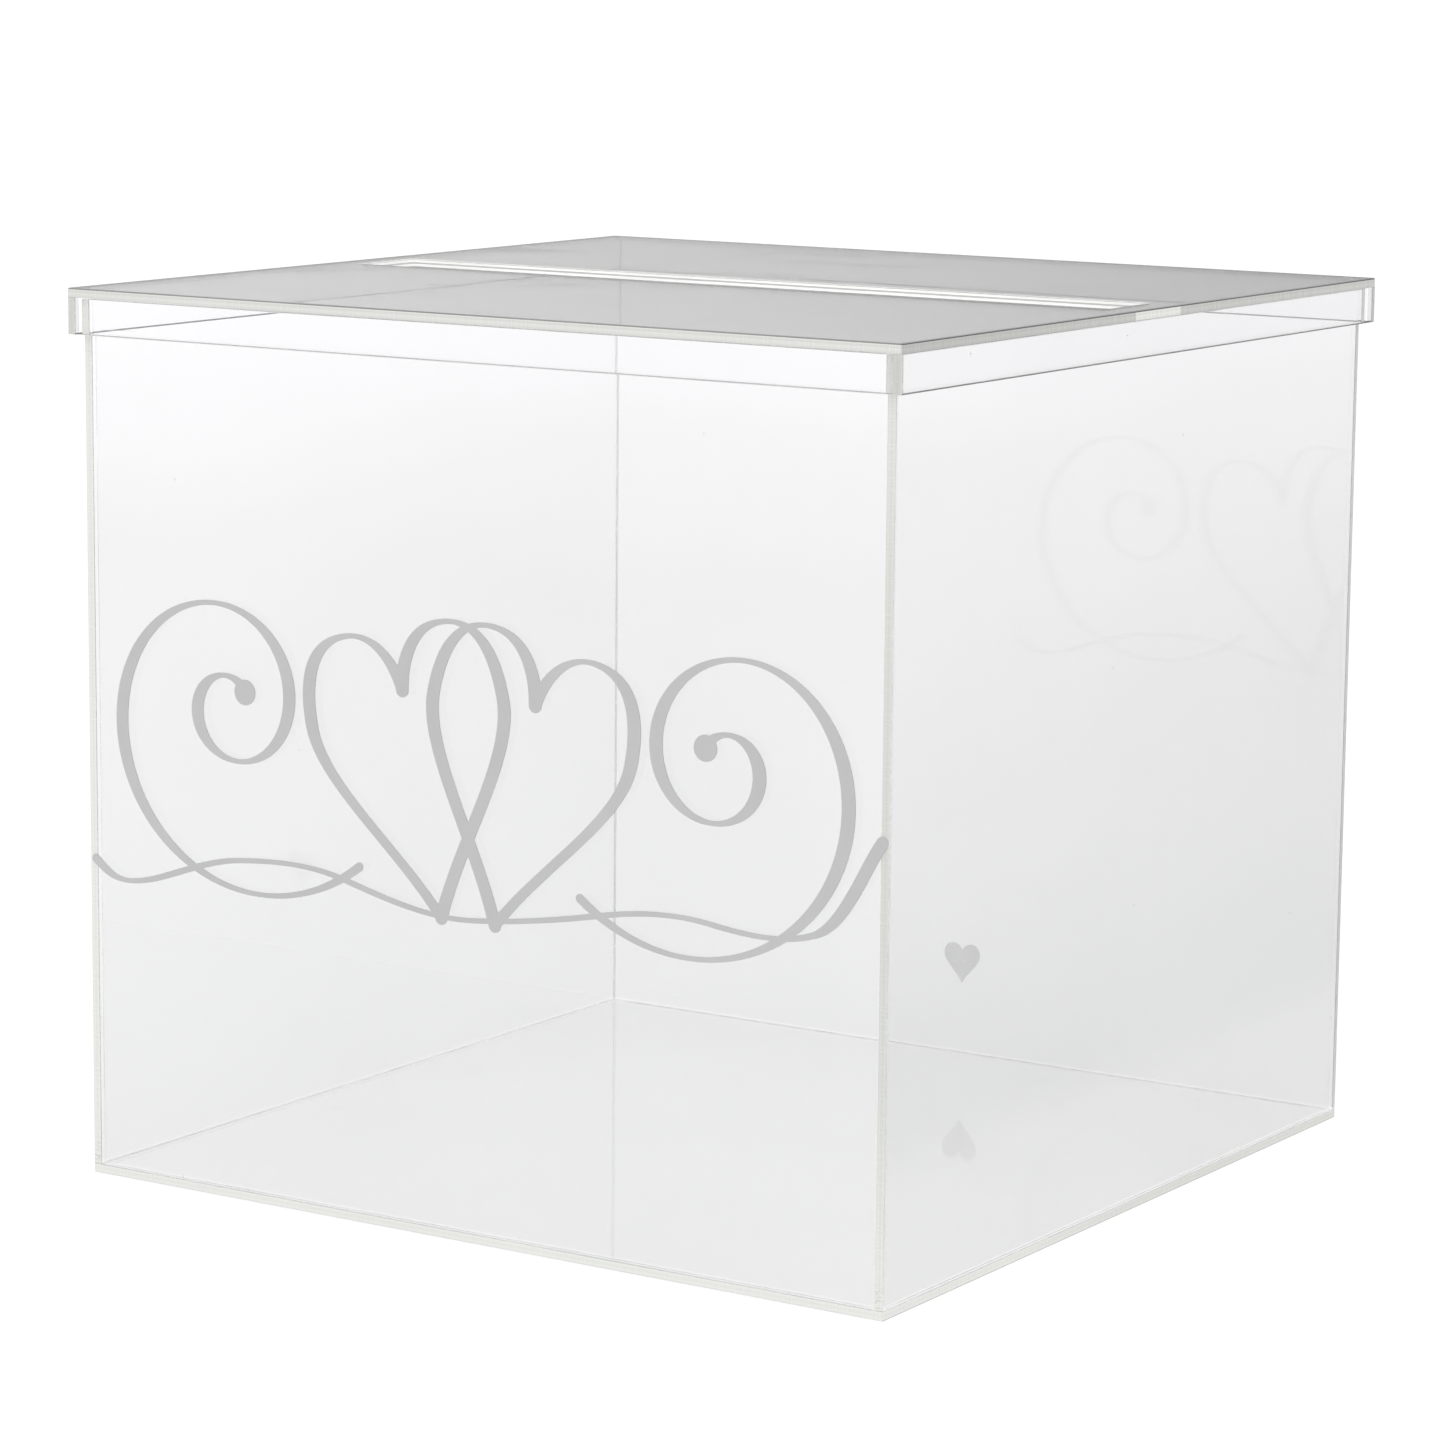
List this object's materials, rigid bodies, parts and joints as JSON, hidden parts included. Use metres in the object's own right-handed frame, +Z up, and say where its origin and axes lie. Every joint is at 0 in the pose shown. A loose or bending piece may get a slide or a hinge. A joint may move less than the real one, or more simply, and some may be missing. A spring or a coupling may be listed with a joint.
{
  "type": "wedding card box",
  "caption": "Clear acrylic card box with a lift-off lid, a long card slot across the lid and a grey film ornament on the front panel.",
  "frame": {"origin": "centre of the underside of the base panel, on the surface that the box stands on", "axes": "+Z up, out of the lid; -Y out of the front panel, which carries the ornament; the card slot runs along X"},
  "size_m": [0.2562, 0.2562, 0.24],
  "materials": {
    "clear_acrylic": "clear polished sheet",
    "grey_film": "matte cut film"
  },
  "bodies": {
    "box": {"base_panel": "clear_acrylic", "front_panel": "clear_acrylic", "back_panel": "clear_acrylic", "left_panel": "clear_acrylic", "right_panel": "clear_acrylic", "front_ornament": "grey_film", "back_mark": "grey_film"},
    "lid": {"lid_plate": "clear_acrylic", "lid_rim_front": "clear_acrylic", "lid_rim_back": "clear_acrylic", "lid_rim_left": "clear_acrylic", "lid_rim_right": "clear_acrylic"}
  },
  "joints": [
    {"name": "lid_lift", "type": "slide", "parent": "box", "child": "lid", "axis": [0, 0, 1], "range_m": [0, 0.06]}
  ]
}
